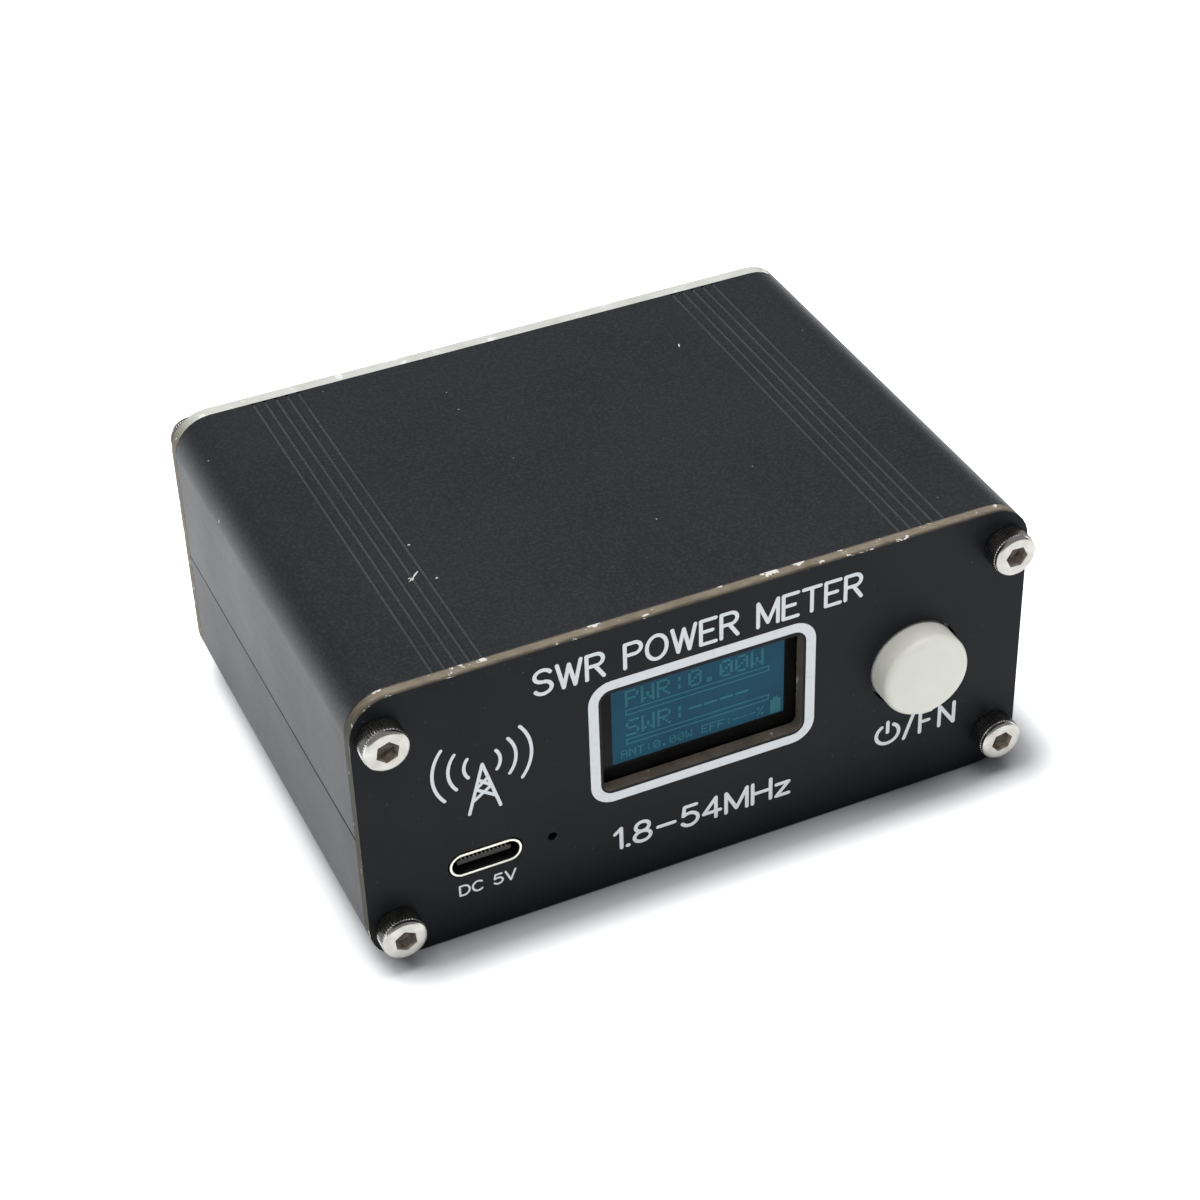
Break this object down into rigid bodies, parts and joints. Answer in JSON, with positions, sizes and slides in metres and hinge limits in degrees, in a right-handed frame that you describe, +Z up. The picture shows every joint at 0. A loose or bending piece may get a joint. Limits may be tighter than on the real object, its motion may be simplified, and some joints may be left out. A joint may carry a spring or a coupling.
{
  "type": "swr meter",
  "caption": "Pocket SWR and power meter: grooved split metal case, flat end panels, small display, push button, charging socket and rear RF jacks.",
  "frame": {"origin": "centre of the flat underside of the case, on the surface it stands on", "axes": "+X towards the meter's right seen from the front, +Y from the front panel to the rear panel, +Z up"},
  "size_m": [0.085, 0.0797, 0.038],
  "materials": {
    "case_metal": "black anodised, fine matt grain",
    "panel_laminate": "black mask over glass laminate with bare tan edges",
    "screw_steel": "nickel plated",
    "jack_plating": "nickel plated",
    "contact_plating": "gold plated",
    "jack_insulation": "white moulding",
    "cap_plastic": "warm white, satin",
    "black_moulding": "satin",
    "switch_steel": "bright sheet",
    "display_glass": "dark blue green display glass",
    "board_laminate": "green mask over glass laminate",
    "usb_steel": "bright drawn sheet",
    "chip_epoxy": "matt black",
    "lamp_resin": "clear to milky",
    "inductor_ferrite": "matt grey",
    "pouch_foil": "crinkled foil",
    "foam_tape": "grey foam",
    "red_sleeve": "satin",
    "black_sleeve": "satin",
    "ivory_moulding": "ivory",
    "winding_copper": "enamelled copper",
    "line_copper": "tinned copper"
  },
  "bodies": {
    "meter": {"case_lower": "case_metal", "case_upper": "case_metal", "front_panel": "panel_laminate", "rear_panel": "panel_laminate", "front_screw_1": "screw_steel", "front_screw_2": "screw_steel", "front_screw_3": "screw_steel", "front_screw_4": "screw_steel", "rear_screw_1": "screw_steel", "rear_screw_2": "screw_steel", "rear_screw_3": "screw_steel", "rear_screw_4": "screw_steel", "switch_cover": "switch_steel", "switch_body": "black_moulding", "switch_dome": "switch_steel", "display_glass": "display_glass", "display_board": "board_laminate", "display_header": "black_moulding", "front_board": "board_laminate", "board_header": "black_moulding", "main_board": "board_laminate", "charge_led": "lamp_resin", "mcu_chip": "chip_epoxy", "charger_chip": "chip_epoxy", "boost_inductor": "inductor_ferrite", "load_resistor_1": "chip_epoxy", "load_resistor_2": "chip_epoxy", "forward_diode": "chip_epoxy", "reflected_diode": "chip_epoxy", "usb_shell": "usb_steel", "usb_tongue": "black_moulding", "battery_tape": "foam_tape", "battery": "pouch_foil", "battery_lead_red": "red_sleeve", "battery_lead_black": "black_sleeve", "battery_plug": "ivory_moulding", "battery_socket": "ivory_moulding", "radio_jack_body": "jack_plating", "radio_jack_insulator": "jack_insulation", "radio_jack_contact": "contact_plating", "radio_jack_washer": "screw_steel", "radio_jack_nut": "jack_plating", "antenna_jack_body": "jack_plating", "antenna_jack_insulator": "jack_insulation", "antenna_jack_contact": "contact_plating", "antenna_jack_washer": "screw_steel", "antenna_jack_nut": "jack_plating", "current_core": "inductor_ferrite", "current_winding": "winding_copper", "voltage_core": "inductor_ferrite", "voltage_winding": "winding_copper", "main_line": "line_copper", "sense_line": "line_copper"},
    "button": {"button_cap": "cap_plastic", "switch_plunger": "black_moulding"}
  },
  "joints": [
    {"name": "button_press", "type": "slide", "parent": "meter", "child": "button", "axis": [0, 1, 0], "range_m": [0, 0.0004], "stiffness_N_per_m": 900, "springref_m": -0.0015}
  ]
}
